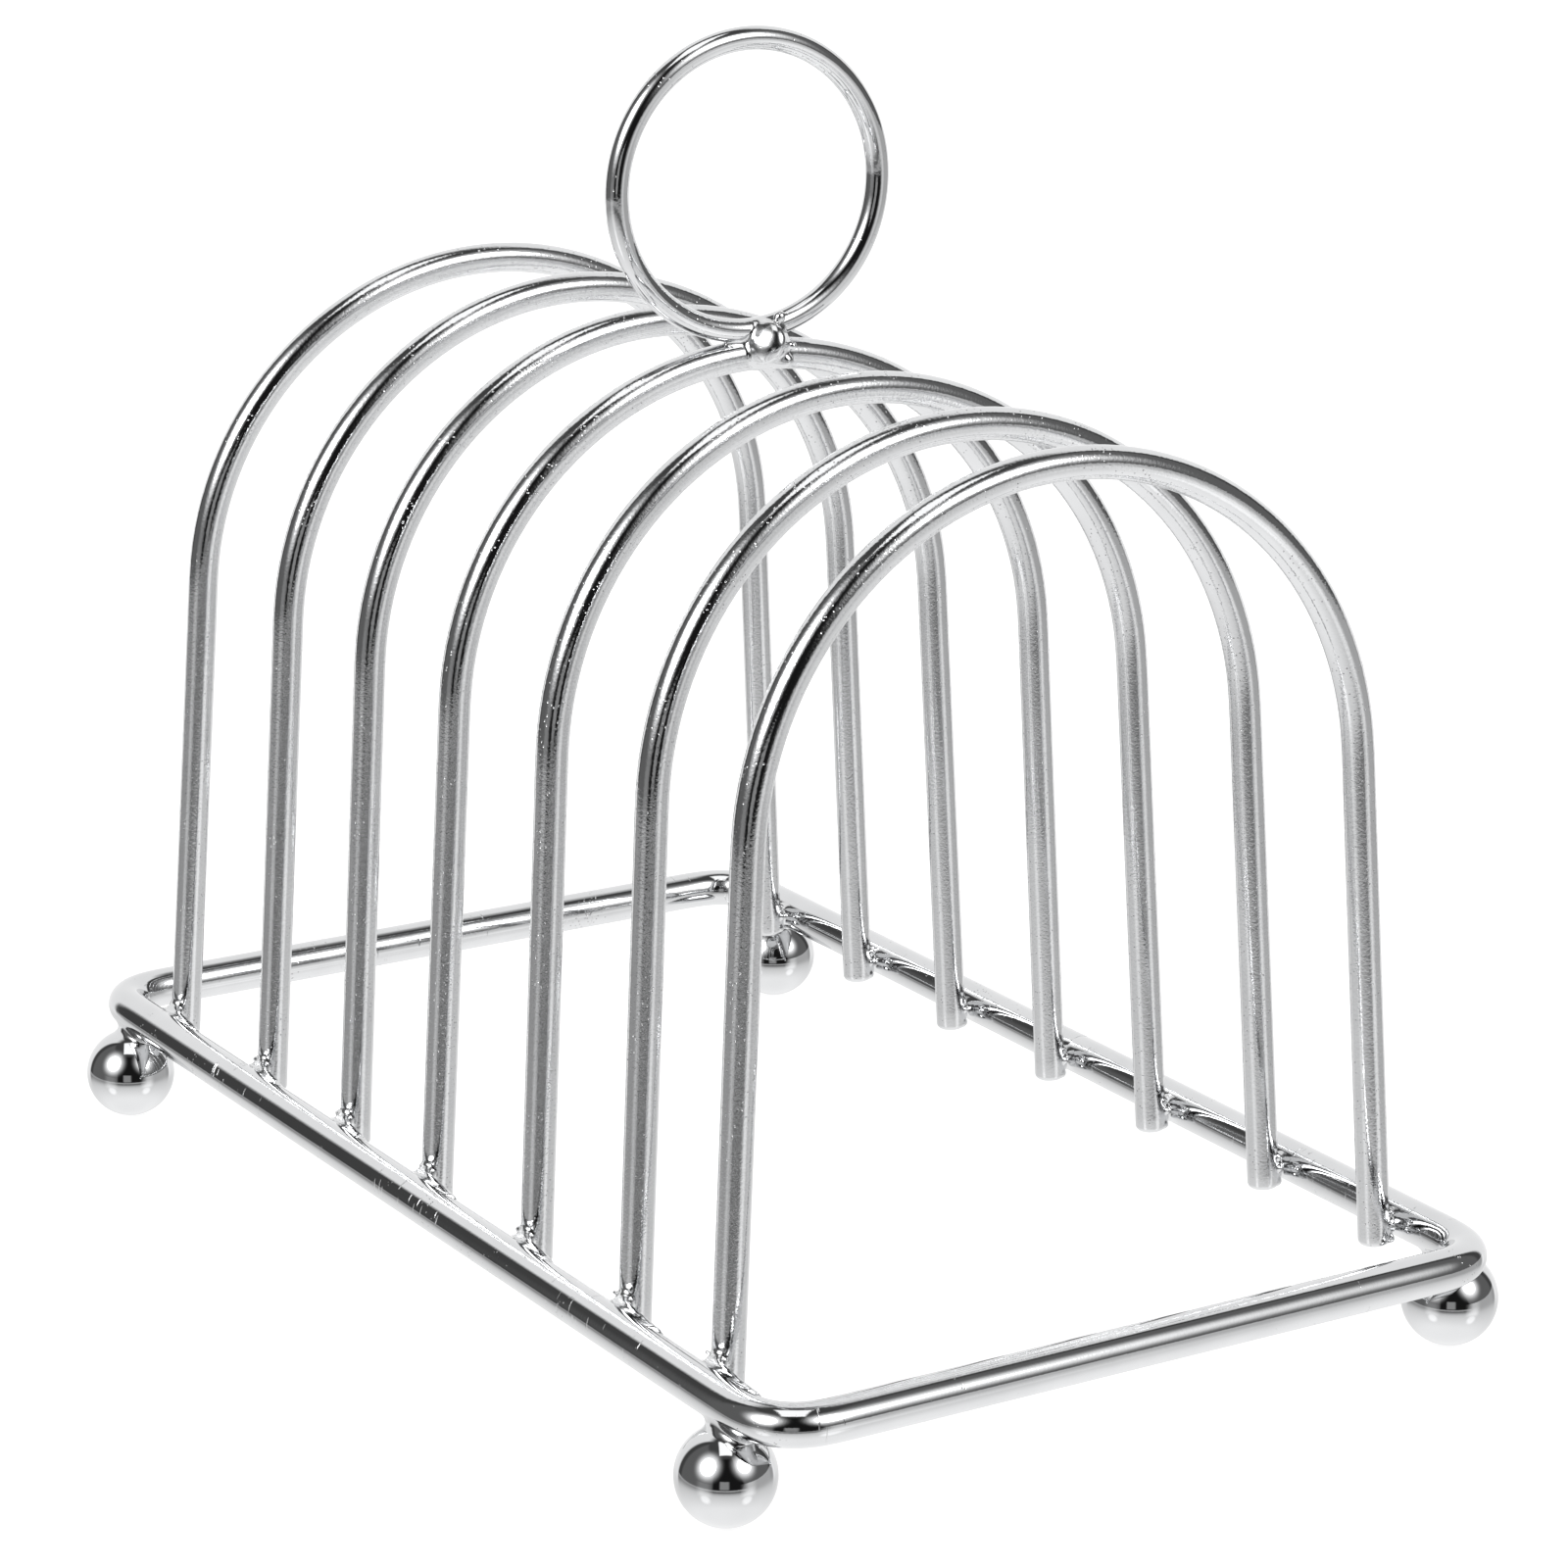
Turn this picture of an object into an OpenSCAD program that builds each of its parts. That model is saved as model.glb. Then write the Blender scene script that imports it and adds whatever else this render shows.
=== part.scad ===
// Wire toast rack: seven hoops on a four-footed frame, with a ring to carry it by.
// +X runs along the row of hoops towards the front, +Y runs across it, +Z is up.
// The origin is on the table, under the middle of the base frame.

/* [Base frame] */
// Length of the base frame over its wire
base_len = 182.5; // [150:0.5:220]
// Width of the base frame over its two long rails
base_wid = 107; // [90:1:130]
// Diameter of the base frame's wire
base_wire_d = 5.2; // [4:0.1:7]
// Bend radius of the base corners, at the middle of the wire
corner_r = 6.5; // [5:0.5:14]

/* [Feet] */
// Diameter of the ball feet
foot_d = 12; // [9:0.5:16]
// Distance from each foot's centre to the end of the base frame
foot_inset = 11.4; // [9:0.1:20]
// How far each foot's centre stands outside its rail's centre line
foot_offset = 0.8; // [0:0.1:2]
// How far the frame's wire is sunk into each foot by welding
foot_sink = 0.5; // [0.2:0.1:1]

/* [Hoops] */
// Number of hoops, which is one more than the number of slots
hoop_count = 7; // [3:1:7]
// Diameter of the hoops' wire
hoop_wire_d = 4; // [3:0.1:5]
// Distance between the middles of neighbouring hoops
hoop_pitch = 24.2; // [18:0.1:25]
// Height of the hoops' crowns above the table, at the middle of the wire
hoop_top = 115.8; // [90:0.1:130]
// Outward slope of each leg, in degrees
leg_splay = 3.3; // [0:0.1:5]
// Height of the cut ends of the legs above the table
leg_end = 12; // [8:0.1:13]
// Share of the uneven setting that hand welding leaves, from 0 for perfectly even hoops
as_welded = 1; // [0:0.1:1]

/* [Ring handle] */
// Radius of the ring, at the middle of its wire
ring_r = 18.3; // [12:0.1:24]
// Diameter of the ring's wire
ring_wire_d = 3; // [2.5:0.1:4]
// Angle that the ring is turned from square to the row, in degrees
ring_turn = 3; // [0:0.5:5]

/* [Welds] */
// Radius of the weld between a leg and its rail
leg_weld_r = 2.9; // [2.6:0.1:3.4]
// Radius of the weld that holds the ring
ring_weld_r = 3; // [2.8:0.1:3.6]
// Radius of the weld neck on each foot
foot_weld_r = 2.9; // [2.2:0.1:3.4]

/* [Hidden] */
$fn = 48;

// Gap between each leg and its rail, which the weld metal fills
weld_gap = 0.6;
// Half of the width of the weld metal across that gap
weld_reach = 1.6;
// Depth that the ring is sunk into the middle hoop's crown by welding
ring_sink = 0.3;
// Chamfer on the cut ends of the legs
cut_chamfer = 0.5;
// Length and height of the faint collar that the bender leaves where each bend of a hoop starts
bend_mark_len = 0.6;
bend_mark_proud = 0.03;
// Length of wire inside the collar that is neither bent nor straight
bend_start = 0.1;
// Thickness of the butt weld that closes the base frame, and its place along the right rail
seam_len = 0.8;
seam_x = 1.5;
// Place and height of the ring's weld, from the middle of the crown's top
ring_weld_at = [1.5, 1.4, -3];
ring_weld_h = 6.5;
// Sideways offset of the ring along the crown
ring_y = -0.6;

// Unevenness of each hoop as welded, from the back of the rack to the front:
// shift along the row and rise in millimetres, turn and lean in degrees.
hoop_shift = [-0.5, 1, 1, 0.2, 0.6, 0.7, -1.4];
hoop_rise = [0.8, 0.6, 0, -0.1, -0.3, -0.3, -0.6];
hoop_turn = [2.5, 1, 1, 2, 0.4, 0.7, 1.7];
hoop_lean = [1.9, 0.7, -0.2, -0.1, -1.1, -1.4, -1.4];

base_r = base_wire_d / 2;
hoop_r = hoop_wire_d / 2;
ring_wr = ring_wire_d / 2;
foot_r = foot_d / 2;

// Centre lines of the base frame's rails
rail_x = base_len / 2 - base_r;
rail_y = base_wid / 2 - base_r;
rail_z = foot_d - foot_sink + base_r;

// The legs pass the inner side of the rails and lean in to a round crown.
leg_y = rail_y - base_r - hoop_r - weld_gap;
crown_r = (leg_y - tan(leg_splay) * (hoop_top - rail_z))
    / (cos(leg_splay) - tan(leg_splay) * (1 - sin(leg_splay)));
crown_z = hoop_top - crown_r;

hoops = [1:hoop_count];
middle_hoop = ceil(hoop_count / 2);

// The rack's two sides, as [name, y side]
sides = [["left", -1], ["right", 1]];
// The rack's four corners, as [name, x side, y side, outward shift of the foot as welded]
corners = [
    ["front_left", 1, -1, [-0.3, 0]],
    ["front_right", 1, 1, [0, 0.3]],
    ["back_left", -1, -1, [-0.3, 0.5]],
    ["back_right", -1, 1, [-2.4, -1]],
];

function hoop_x(i) = (i - middle_hoop) * hoop_pitch + as_welded * hoop_shift[i - 1];
function hoop_name(i) = str("hoop_", i);
function leg_weld_name(i, side) = str("leg_weld_", side[0], "_", i);
function foot_name(c) = str("foot_", c[0]);
function foot_weld_name(c) = str("foot_weld_", c[0]);
function foot_x(c) = c[1] * (base_len / 2 - foot_inset + as_welded * c[3][0]);
function foot_y(c) = c[2] * (rail_y + foot_offset + as_welded * c[3][1]);

// Top of the middle hoop's crown, and the centre of the ring that stands on it
crown_rise = as_welded * hoop_rise[middle_hoop - 1];
crown_top = [hoop_x(middle_hoop), 0, hoop_top + crown_rise + hoop_r];
ring_at = [crown_top[0], ring_y, crown_top[2] + ring_wr + ring_r - ring_sink];

// A straight wire along X, centred on the origin.
module wire_x(len, r) {
    rotate([0, 90, 0]) cylinder(h = len, r = r, center = true);
}

// A straight run of the base frame's wire along X, from a to b.
module rail(a, b, y) {
    translate([(a + b) / 2, y, rail_z]) wire_x(b - a, base_r);
}

// A quarter bend of the base frame's wire at the front right corner.
module corner_bend() {
    translate([rail_x - corner_r, rail_y - corner_r, rail_z])
        rotate_extrude(angle = 90) translate([corner_r, 0]) circle(r = base_r);
}

// The base frame is one wire, bent round four corners, whose ends meet at the seam.
module base_frame() {
    bend_x = rail_x - corner_r;
    color("silver") {
        for (sx = [0, 1], sy = [0, 1])
            mirror([sx, 0, 0]) mirror([0, sy, 0]) corner_bend();
        rail(-bend_x, bend_x, -rail_y);
        rail(-bend_x, seam_x - seam_len / 2, rail_y);
        rail(seam_x + seam_len / 2, bend_x, rail_y);
        for (s = [-1, 1])
            translate([s * rail_x, 0, rail_z]) rotate([0, 0, 90])
                wire_x(2 * (rail_y - corner_r), base_r);
    }
}

// Butt weld that joins the two ends of the base frame's wire, ground flush.
module frame_seam() {
    color("gainsboro") rail(seam_x - seam_len / 2, seam_x + seam_len / 2, rail_y);
}

// Sets its children where hoop i stands, turned and leaned about the height of the rails.
module at_hoop(i) {
    translate([hoop_x(i), 0, rail_z])
        rotate([0, as_welded * hoop_lean[i - 1], -as_welded * hoop_turn[i - 1]])
            translate([0, 0, -rail_z]) children();
}

// The round crown of a hoop, between its two bend marks.
module crown(rise) {
    translate([0, 0, crown_z + rise]) rotate([90, 0, 90])
        rotate_extrude(angle = 180 - 2 * leg_splay, start = leg_splay)
            translate([crown_r, 0]) circle(r = hoop_r);
}

// One leg on the right, from the bend mark down to its chamfered cut end.
module leg(rise) {
    top_y = crown_r * cos(leg_splay);
    top_z = crown_z + rise + crown_r * sin(leg_splay);
    len = (top_z - leg_end) / cos(leg_splay);
    straight = len - cut_chamfer - bend_start;
    translate([0, top_y, top_z]) rotate([leg_splay, 0, 0]) {
        cylinder(h = bend_mark_len, r = hoop_r + bend_mark_proud, center = true);
        translate([0, 0, cut_chamfer - len]) cylinder(h = straight, r = hoop_r);
        translate([0, 0, -len]) cylinder(h = cut_chamfer, r1 = hoop_r - cut_chamfer, r2 = hoop_r);
    }
}

// A hoop is one wire: a round crown between two straight legs.
module hoop(i) {
    rise = as_welded * hoop_rise[i - 1];
    color("lightgray") at_hoop(i) {
        crown(rise);
        for (s = [0, 1]) mirror([0, s, 0]) leg(rise);
    }
}

// Weld metal that fills the gap between one leg and its rail.
module leg_weld(i, side) {
    turn = as_welded * hoop_turn[i - 1];
    weld_x = hoop_x(i) + side[1] * leg_y * sin(turn);
    color("gainsboro") difference() {
        translate([weld_x, side[1] * (rail_y - base_r), rail_z])
            rotate([90, 0, 0]) cylinder(h = 2 * weld_reach, r = leg_weld_r, center = true);
        rail(weld_x - 2 * leg_weld_r, weld_x + 2 * leg_weld_r, side[1] * rail_y);
        at_hoop(i) mirror([0, side[1] < 0 ? 1 : 0, 0])
            translate([0, leg_y, rail_z]) rotate([leg_splay, 0, 0])
                cylinder(h = 4 * leg_weld_r, r = hoop_r, center = true);
    }
}

// The ring's closed round wire.
module ring_wire() {
    translate(ring_at) rotate([90, 0, 90 - as_welded * ring_turn])
        rotate_extrude() translate([ring_r, 0]) circle(r = ring_wr);
}

// The carrying ring stands on the middle hoop's crown, which is sunk into it.
module ring_handle() {
    color("silver") difference() {
        ring_wire();
        at_hoop(middle_hoop) crown(crown_rise);
    }
}

// Weld metal that holds the ring on the middle hoop.
module ring_weld() {
    color("gainsboro") difference() {
        translate(crown_top + ring_weld_at) cylinder(h = ring_weld_h, r = ring_weld_r);
        at_hoop(middle_hoop) crown(crown_rise);
        ring_wire();
    }
}

// The stretch of rail that is sunk into a foot.
module rail_over_foot(c) {
    rail(foot_x(c) - foot_d, foot_x(c) + foot_d, c[2] * rail_y);
}

// A ball foot, hollowed where its rail is sunk into it.
module foot(c) {
    color("silver") difference() {
        translate([foot_x(c), foot_y(c), foot_r]) sphere(r = foot_r);
        rail_over_foot(c);
    }
}

// Weld neck between a foot and its rail.
module foot_weld(c) {
    color("gainsboro") difference() {
        translate([foot_x(c), (foot_y(c) + c[2] * rail_y) / 2, foot_d - foot_weld_r / 2])
            cylinder(h = foot_weld_r * 0.7, r = foot_weld_r);
        translate([foot_x(c), foot_y(c), foot_r]) sphere(r = foot_r);
        rail_over_foot(c);
    }
}

base_frame();
frame_seam();
for (i = hoops) hoop(i);
for (side = sides, i = hoops) leg_weld(i, side);
ring_handle();
ring_weld();
for (c = corners) foot(c);
for (c = corners) foot_weld(c);
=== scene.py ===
"""Looks of the wire toast rack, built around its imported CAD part."""

import math

import bpy
import numpy as np
from mathutils import Matrix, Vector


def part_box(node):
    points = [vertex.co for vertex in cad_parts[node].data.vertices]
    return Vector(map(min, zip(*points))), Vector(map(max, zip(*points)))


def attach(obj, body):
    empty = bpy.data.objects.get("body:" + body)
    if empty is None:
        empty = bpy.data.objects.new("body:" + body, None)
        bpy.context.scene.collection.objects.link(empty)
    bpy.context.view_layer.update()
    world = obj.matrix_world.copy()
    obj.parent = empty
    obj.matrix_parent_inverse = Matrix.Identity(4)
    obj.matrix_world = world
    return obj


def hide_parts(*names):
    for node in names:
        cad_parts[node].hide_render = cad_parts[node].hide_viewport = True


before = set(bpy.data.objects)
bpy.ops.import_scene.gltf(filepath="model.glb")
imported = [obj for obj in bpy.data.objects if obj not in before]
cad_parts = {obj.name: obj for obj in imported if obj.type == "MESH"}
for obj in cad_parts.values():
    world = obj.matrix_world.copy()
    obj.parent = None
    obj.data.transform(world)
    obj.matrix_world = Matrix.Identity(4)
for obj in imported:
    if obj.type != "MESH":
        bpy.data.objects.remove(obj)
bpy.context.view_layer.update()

MM = 0.001

# Camera, seen from the middle of the rack
CAMERA_AZIMUTH = 58.77
CAMERA_ELEVATION = 15.23
CAMERA_DISTANCE = 669.73 * MM
CAMERA_TARGET = (0, 0, 75 * MM)
CAMERA_LENS = 120.8
CAMERA_SHIFT = (0.0204, -0.0741)

# Studio: radiances, and angles in degrees above the horizon or from the camera's azimuth, + to its right.
# A pair of angles is where a soft edge starts and where it ends.
FLOOR_GLOW = 0.82
FLOOR_COLOUR = 0.24
FLOOR_ROUGHNESS = 0.5
FLOOR_RADIUS = 6.0
FLOOR_SIDES = 64

WEDGE = 0.012                 # dark gap behind the camera
WEDGE_LEFT = (-25, -32)
WEDGE_RIGHT = (22, 28)
WEDGE_LEAN = (0, 32, 16, 0)   # between heights 0 and 32 the right edge moves in by 16
DIM_PATCH = 0.32              # low in the gap, where somebody or something stands
DIM_PATCH_LEFT = (-15, -10)
DIM_PATCH_RIGHT = (10, 4)
DIM_PATCH_TOP = (10, 7.5)
PANEL = 0.15                  # on both sides of the gap
PANEL_END = (108, 116)
PANEL_TOP = (55, 62)
BAND = 0.07                   # past and above the panels
BACKDROP = 1.08
BACKDROP_SIDES = (122, 130)
BACKDROP_TOP = (68, 52)
OVERHEAD = 1.5
OVERHEAD_FRONT = (65, 68)
OVERHEAD_BACK = (104, 98)
OVERHEAD_SIDES = (14, 11)

# Lamps: azimuth, elevation, radius, radiance, and the radiance of its sheen on the table
LAMPS = [(-48, 33, 16, 8.0, 0.28), (51, 35, 13, 8.0, 0.42)]
LAMP_EDGE = (3.5, -2.5)       # added to the radius
LAMP_GLOW = 1.6
LAMP_GLOW_EDGE = (26, -4)
LAMP_GLOW_POWER = 2.0

# Table, as the metal mirrors it. Heights here are angles below the horizon.
TABLE_FAR = 0.85              # its own white, far away and near the rack
TABLE_NEAR = 1.2
TABLE_FAR_TO_NEAR = (15, 60)
TABLE_HALF_GLOSS = 18.7       # where it is half white and half mirror of the studio
TABLE_GLOSS_POWER = 8.0
TABLE_STRIP = 0.42            # far edge
TABLE_STRIP_TOP = (9.8, 11.4)
TABLE_STRIP_BOTTOM = (14.8, 13.2)
TABLE_GLARE_LEFT = 0.17
TABLE_GLARE_LEFT_RISE = (9.5, 13)
TABLE_GLARE_RIGHT = 0.38
TABLE_GLARE_START = (40, 52)
TABLE_GLARE_END = (134, 124)
SHEEN_SIDES = (22, 5)         # of the streak under each lamp, from the lamp's azimuth
SHEEN_FAR = 0.5               # share of the streak that is left at its far end
SHEEN_RISE = (7, 15)
SHEEN_END = (32, 22)
SHEEN_SPOT = 0.4              # about the lamp's mirror image
SHEEN_SPOT_EDGE = (13, 5)
HORIZON = (-0.01, 0.01)       # heights, as sines

# Sizes that the frame's boxes don't give
BASE_CORNER_R = 6.5 * MM
CUT_EDGE_R = 0.7 * MM
SEAM_GAP = 0.1 * MM
SEAM_EDGE_R = 0.12 * MM
SEAM_DEPTH = 0.12 * MM

CROWN_DEPTH = 25 * MM         # of a hoop's or the ring's top, all of it bent to one circle
FOOT_SLICE = 1.5 * MM

# Wire meshes
PATH_STEP = 0.25 * MM
LINE_STEP = 1 * MM
ARC_STEP = 0.5 * MM
HOOP_EASE = 3 * MM
CORNER_EASE = 2 * MM
SIDES = 48
EDGE_RINGS = 7

# Plating: sizes in mm. A pair is the noise values between which a mark fades in.
CHROME = (0.655, 0.66, 0.668)
NOISE_ROUGHNESS = 0.6
PIT_SPACING = 0.6
PIT_EDGE = (0.22, 0.08)
PIT_DEPTH = 0.03
PIT_DULLNESS = 0.35
PIT_TONE = 0.5
PITTED_SIZE = 7
PITTED = (0.70, 0.76)
GRAIN_SIZE = 0.35
PEEL_SIZE = 3.0
FLOW_SIZE = 0.4
FLOW_STRETCH = (0.1, 1.0, 1.0)
HAZE_SIZE = 4
HAZE = (0.35, 0.75)
HAZE_DULLNESS = (0.6, 1.7)    # times the finish's roughness
DRAWN_STRETCH = (1.0, 1.0, 0.02)
LINE_SIZE = 0.30
LINE = (0.56, 0.72)
LINE_DULLNESS = 0.06
GROOVE_SIZE = 1.3
GROOVE_HEIGHT = 3             # times the lines'
CUT_STRETCH = (0.12, 0.12, 1.0)
CUT_SIZE = 0.45
CUT = (0.68, 0.76)
CUT_DULLNESS = 0.2
WORN_SIZE = 16
WORN = (0.50, 0.58)
TONE_SIZE = 9
TONE = (0.3, 0.7)
TONES = (0.965, 1.03)

# Weld metal, in mm
WELD_STEP = 0.2
COARSE = 4                    # steps between the samples that tell where the surface is
PINCH_FILL = 0.25             # of a step
NET_MOVES = 3                 # moves of each vertex to the surface, and the most of a step each may be
NET_MOVE = 0.3
NET_PROBE = 0.1
LEAST_SLOPE = 0.25
GRID_SHIFT = 0.31             # of a step, so that no surface runs through grid points
UNDER_WIRE = 0.03             # how far the weld meshes' own wires stay inside the real ones
BEAD_FILLET = 0.6
WELD_DEPTH = 0.2              # above the wires, from where the surface is all weld metal

# Leg welds: places are east, out and up from the joint. A pair is the range of a random draw.
LEG_WELD_BUMPS = {-1: 0.022, 1: 0.01}   # heights, left and right
LEG_BUMP_SIZE = 0.8
LEG_BUMP_FADE = 12
LEG_WELD_BOX = (-7.2, -7.2, -6.2), (14.2, 7.2, 6.2)
LEG_WELD_MIDDLE = (3.5, 1, 0)
LEG_WELD_REACH = (10.5, 6.0, 6.0)
LEG_WELD_RAIL = 18            # how much of the rail its mesh follows, either way
WEB_FILLET = (1.5, 2.0)
TAIL_START = (0.6, 2.2, 1.5)
TAIL_LENGTH = (9, 13)
TAIL_SLOPE = (52, 64)         # degrees up the rail's side, at the tail's tip
TAIL_RADII = (0.6, 0.05)
TAIL_FILLET = 1.4
WEST_BEAD = [(1.2, 1.5), (1.8, 2.1), (1.8, 2.1), (0.12, 0.2)]    # west, out, up and radius
TOP_BEAD = [(-1.0, 0.8), (1.6, 1.9), (1.9, 2.3), (0.15, 0.25)]   # east, out, up and radius
TOP_BEADS = 2
RIGHT_BEAD = [(1.3, 1.6), (1.1, 1.6), (0.25, 0.42)]              # east, out and radius
RIGHT_BEAD_LIFTS = (-1.4, 0.5, 2.0)

# Ring weld: places are to the camera's right and up from its middle
RING_WELD_R = 5.8
RING_WELD_BOX = 6.6
RING_WELD_FACE = (-28, 20)    # the cushion faces this azimuth from the camera's, and this elevation
RING_FILLET = 1.0
CORE, CORE_R, CORE_FILLET = (0.4, -0.5), 2.2, 0.8
CUSHION, CUSHION_OUT, CUSHION_FLAT, CUSHION_WIDE = (0.3, -0.8), 1.5, 1.3, 2.8
LIP_START, LIP_END, LIP_RADII, LIP_FILLET = (-0.9, -3.2), (2.2, -2.9), (0.75, 0.9), 1.0
NUB_AND_KNOBS = [((1.4, 2.7), 0.8), ((3.0, -1.0), 0.5), ((-1.9, 0.7), 0.3), ((-2.1, -0.5), 0.25)]
RING_BUMP_SIZE, RING_BUMPS = 1.2, 0.02
RING_LUMP_SIZE, RING_LUMPS = 2.5, 0.05

# Foot welds
FOOT_FILLET = 1.8
FOOT_WELD_DEPTH = 0.15
FOOT_BUMP_SIZE, FOOT_BUMPS = 1.0, 0.015
FOOT_WELD_R = 5.2
FOOT_WELD_BOX = 6
FOOT_WELD_RAIL = 12
FOOT_WELD_DROP = 0.8          # of its middle, below halfway between the rail and the ball's top
FOOT_ROWS, FOOT_COLUMNS = 72, 96

HOOPS = range(1, 8)
CORNERS = ["front_left", "front_right", "back_left", "back_right"]


# ---------------------------------------------------------------- vectors

def unit(v):
    v = np.asarray(v, float)
    return v / np.linalg.norm(v)


def horizontal(azimuth):
    """Unit vector from the rack towards a view azimuth."""
    a = math.radians(azimuth)
    return np.array([math.sin(a), -math.cos(a), 0.0])


def direction(azimuth, elevation):
    """Unit vector from the rack towards a view azimuth and elevation."""
    e = math.radians(elevation)
    return horizontal(azimuth) * math.cos(e) + np.array([0, 0, math.sin(e)])


# ---------------------------------------------------------------- node trees

def add_node(tree, kind, *values, **named):
    """Adds a shader node and returns its first output. Values fill the inputs in order. A named value
    goes to the input of that name if it starts with a capital, and is a setting otherwise."""
    made = tree.nodes.new("ShaderNode" + kind)
    for key, value in named.items():
        if key[0].islower():
            setattr(made, key, value)
    filled = list(zip(made.inputs, values))
    filled += [(made.inputs[key.replace("_", " ")], value)
               for key, value in named.items() if key[0].isupper()]
    for socket, value in filled:
        if isinstance(value, bpy.types.NodeSocket):
            tree.links.new(value, socket)
        else:
            socket.default_value = value
    return made.outputs[0]


def maths(tree, operation, *values):
    return add_node(tree, "Math", *values, operation=operation)


def times(tree, *values):
    """The product of two or more values."""
    product = values[0]
    for value in values[1:]:
        product = maths(tree, "MULTIPLY", product, value)
    return product


def plus(tree, a, b):
    return maths(tree, "ADD", a, b)


def in_degrees(tree, angle):
    return times(tree, angle, 180 / math.pi)


def noise(tree, vector, size, detail=2.0):
    """Noise with features of about size in mm, on a vector in metres."""
    return add_node(tree, "TexNoise", Vector=vector, Scale=1 / (size * MM), Detail=detail,
                    Roughness=NOISE_ROUGHNESS)


def ramp(tree, value, start, end, low=0.0, high=1.0):
    """A smooth step of value, from low at start to high at end."""
    return add_node(tree, "MapRange", value, start, end, low, high, interpolation_type="SMOOTHSTEP")


def dot(tree, vector, axis):
    made = tree.nodes.new("ShaderNodeVectorMath")
    made.operation = "DOT_PRODUCT"
    tree.links.new(vector, made.inputs[0])
    made.inputs[1].default_value = tuple(axis)
    return made.outputs["Value"]


def mix(tree, share, a, b):
    """a where share is 0 and b where it is 1."""
    return plus(tree, times(tree, maths(tree, "SUBTRACT", 1.0, share), a), times(tree, share, b))


# ---------------------------------------------------------------- camera and studio

def make_camera():
    data = bpy.data.cameras.new("camera")
    data.sensor_width = 36
    data.lens = CAMERA_LENS
    data.shift_x, data.shift_y = CAMERA_SHIFT
    data.clip_start, data.clip_end = 0.01, 50
    camera = bpy.data.objects.new("camera", data)
    back = direction(CAMERA_AZIMUTH, CAMERA_ELEVATION)
    right = horizontal(CAMERA_AZIMUTH + 90)
    up = np.cross(back, right)
    spot = np.array(CAMERA_TARGET) + back * CAMERA_DISTANCE
    camera.matrix_world = Matrix([(right[i], up[i], back[i], spot[i]) for i in range(3)] + [(0, 0, 0, 1)])
    bpy.context.scene.collection.objects.link(camera)
    bpy.context.scene.camera = camera


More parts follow.
